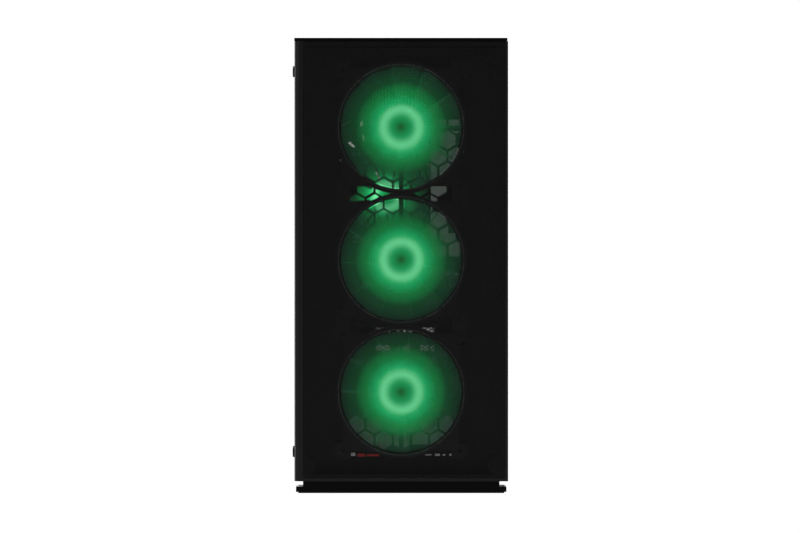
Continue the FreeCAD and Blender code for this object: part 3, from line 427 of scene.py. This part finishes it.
# Ports, plugs, the polished tops of the feet and the copper block under the cooler.
USB_PORTS = (34, 56)
paint("front_io", silver, *[(x - 6.7, x + 6.7, -143, -137, 399.1, 409) for x in USB_PORTS])
paint("front_io", tongue_blue, *[(x - 5.3, x + 5.3, -142, -140.1, 400.1, 408)
                                 for x in USB_PORTS])
foot_gloss = plain("polished foot top", (0.002, 0.002, 0.002), 0.08, specular=0.6)
for name in ("front_foot", "rear_foot"):
    paint(name, foot_gloss, (-96, -88.4, -201, 196, 6.05, 6.15),
          (88.4, 96, -201, 196, 6.05, 6.15))
paint("cooler_base", silver, (52, 63, 80, 130, 230, 320))
paint("gpu_board", silver, (-43, 61, 195.3, 196, 179, 183))

# Openings of the rear port plate: lower edge, upper edge and the side nearer the glass.
PORT_OPENINGS = ((328, 345, 34), (300, 318, 38), (276, 292, 36), (250, 266, 36), (222, 238, 40))
tongues = []
for low_edge, high_edge, reach in PORT_OPENINGS:
    middle, level = (reach + 64) / 2, (low_edge + high_edge) / 2
    tongues += [(x0, x1, REAR_FACE, 195, level - 1, level + 1)
                for x0, x1 in ((reach + 4, middle - 3), (middle + 3, 60))]
piece("rear_port_tongues", *blocks(*tongues), tongue_blue, "chassis", "port_metal")

piece("rear_sound_jacks", *drums(1, 20, *[(x, REAR_FACE, z, 2.7, 8.6)
                                          for x in (41.5, 57) for z in (201, 207.6)]),
      socket_black, "chassis", "port_metal")

piece("card_ports", *blocks(*[(x - 0.8, x + 16.8, REAR_FACE, 195.2, 171.8, 179.2)
                              for x in (-20, 4, 28)],
                            *[(x - 0.8, x + 12.8, REAR_FACE, 195.2, 151.2, 160.8)
                              for x in (-28, -10, 8, 26)]),
      socket_black, "chassis", "bracket_steel")
nets = [woven(-0.032, 0.040, z - 0.0095, z - 0.0005, 0.1955, 0.0011, 0.00095, 0.0001)
        for z in (0.121, 0.1413)]
piece("slot_cover_nets", *joined(*nets), mesh_black, "chassis", "black_steel")

# What sits on the motherboard's face.
piece("board_chokes",
      *blocks(*[(59.5, BOARD_FACE, 128.5, 135.5, z, z + 7) for z in range(224, 322, 11)],
              *[(59.5, BOARD_FACE, y, y + 7, 314.5, 321.5) for y in range(74, 120, 11)]),
      ferrite, "chassis", "board_dark")
piece("board_cans", *drums(0, 14, *[(58.5, 122, z, 2.6, 7.5) for z in range(232, 310, 13)],
                           *[(59, y, 206, 2.6, 7) for y in (6, 16, 26)],
                           *[(59, 176 - 7 * k, 117 + 8 * (k % 2), 2.6, 7) for k in range(4)],
                           *[(60, -46, z, 2.2, 6) for z in (160, 176, 300, 316)]),
      can_silver, "chassis", "board_dark")
CHIPS = ((64.6, -20, -8, 200, 212), (64.6, 120, 132, 150, 162), (64.8, 140, 147, 122, 134),
         (64.8, 110, 118, 204, 212), (64.8, -38, -28, 300, 310), (64.8, 150, 157, 200, 207),
         (64.8, -34, -26, 118, 126), (64.8, 52, 60, 226, 234),
         *[(65.2, 56 + 6 * (k % 3), 59 + 6 * (k % 3), 300 + 7 * k, 304 + 7 * k)
           for k in range(7)])
piece("board_chips", *blocks(*[(top, BOARD_FACE, *span) for top, *span in CHIPS]),
      chip_black, "chassis", "board_dark")
scattered = [(random.uniform(-48, 160), random.uniform(114, 352)) for _ in range(130)]
piece("board_small_parts",
      *blocks(*[(65.4, BOARD_FACE, y, y + 1.6, z, z + 0.8) for y, z in scattered]),
      can_silver, "chassis", "board_dark")
piece("board_side_sockets", *blocks(*[(55, BOARD_FACE, -50.3, -42, z, z + 14)
                                      for z in (170, 188)]),
      socket_black, "chassis", "board_dark")
piece("card_parts", *blocks(*[(-36 + 9 * k, -31 + 9 * k, 20, 27, CARD_FACE, 184.2)
                              for k in range(9)],
                            (-10, 6, 70, 86, CARD_FACE, 184.4),
                            (-34, -24, 110, 124, CARD_FACE, 184),
                            (20, 32, 110, 122, CARD_FACE, 184)),
      chip_black, "chassis", "board_dark")

# Inside the power supply.
piece("supply_inner_board", *blocks((-70, 64, 62, 176, SUPPLY_FLOOR, 89.6)), supply_board,
      "chassis", "supply_steel")
piece("supply_transformers", *blocks((-22, 12, 96, 130, 56, SUPPLY_FLOOR),
                                     (24, 46, 70, 90, 64, SUPPLY_FLOOR),
                                     (-60, -38, 70, 92, 66, SUPPLY_FLOOR)),
      winding, "chassis", "supply_steel")
FIN_ROWS = range(70, 166, 9)
piece("supply_sinks", *blocks(*[(x, x + 3, 66, 168, 44, SUPPLY_FLOOR) for x in (-30, 18)],
                              *[(-36, -27, y, y + 1.6, 46, 70) for y in FIN_ROWS],
                              *[(18, 27, y, y + 1.6, 46, 60) for y in FIN_ROWS]),
      dark_alloy, "chassis", "supply_steel")
piece("supply_cans", *drums(2, 20, (-52, 124, 50, 13, 38), (40, 116, 60, 8, 28),
                            (40, 138, 60, 8, 28), (-50, 156, 64, 6, 24), (2, 150, 66, 5, 22),
                            (2, 164, 66, 5, 22)),
      chip_black, "chassis", "supply_steel")

# The printed border on the inner face of the glass.
low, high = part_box("glass_panel")
y0, y1, z0, z1 = (1000 * c for c in (low.y, high.y, low.z, high.z))
inner = 1000 * high.x
BORDER_SIDES = ((y0 + 0.5, y1 - 0.5, z0 + 0.5, z0 + 12), (y0 + 0.5, y1 - 0.5, z1 - 12, z1 - 0.5),
                (y0 + 0.5, y0 + 6, z0 + 12, z1 - 12), (y1 - 8, y1 - 0.5, z0 + 12, z1 - 12))
piece("glass_border", *blocks(*[(inner - 0.12, inner - 0.02, *side) for side in BORDER_SIDES]),
      glass_print, "glass_side", "glass_tint")


# ---------------------------------------------------------------- stage
# An endless white floor that gives its own light.
floor_white, tree, _, output = nodes_of("studio floor")
tree.links.new(add(tree, "ShaderNodeEmission", Strength=1.05).outputs[0],
               output.inputs["Surface"])
bpy.ops.mesh.primitive_plane_add(size=24.0, location=(0.0, 0.0, 0.0))
floor = bpy.context.object
floor.name = "floor"
floor.data.materials.append(floor_white)

# The surroundings are dim in front of the tower and bright behind it.

world = bpy.data.worlds.new("studio")
bpy.context.scene.world = world
world.use_nodes = True
tree = world.node_tree
where = add(tree, "ShaderNodeTexCoord").outputs["Generated"]
facing = add(tree, "ShaderNodeSeparateXYZ", Vector=where).outputs[1]
ramp = add(tree, "ShaderNodeMapRange", Value=facing)
set_inputs(ramp, {"From Min": -0.35, "From Max": 0.35, "To Min": 0.14, "To Max": 1.1})
ramp.clamp = True
background = tree.nodes["Background"]
background.inputs["Color"].default_value = (*WHITE, 1.0)
tree.links.new(ramp.outputs[0], background.inputs["Strength"])


def area(name, place, aim, size, power):
    """A square lamp at a place, turned towards a point."""
    light = bpy.data.lights.new(name, "AREA")
    light.shape = "SQUARE"
    light.size = size
    light.energy = power
    made = bpy.data.objects.new(name, light)
    bpy.context.scene.collection.objects.link(made)
    made.location = place
    made.rotation_mode = "QUATERNION"
    made.rotation_quaternion = (Vector(aim) - Vector(place)).to_track_quat("-Z", "Y")


area("overhead", (0.0, 0.3, 2.6), (0.0, -0.3, 0.0), 2.4, 130.0)
area("left front", (-1.6, -1.7, 1.1), (0.0, -0.2, 0.25), 0.8, 6.0)

CAMERA_DISTANCE = 2.0
camera = bpy.data.cameras.new("camera")
camera.lens = 100.3
camera.sensor_width = 36.0
camera_object = bpy.data.objects.new("camera", camera)
bpy.context.scene.collection.objects.link(camera_object)
camera_object.location = (-0.0011, FRONT_Y - CAMERA_DISTANCE, 0.2038)
camera_object.rotation_euler = (math.radians(90.0), 0.0, 0.0)
bpy.context.scene.camera = camera_object
bpy.context.scene.view_settings.view_transform = "Standard"
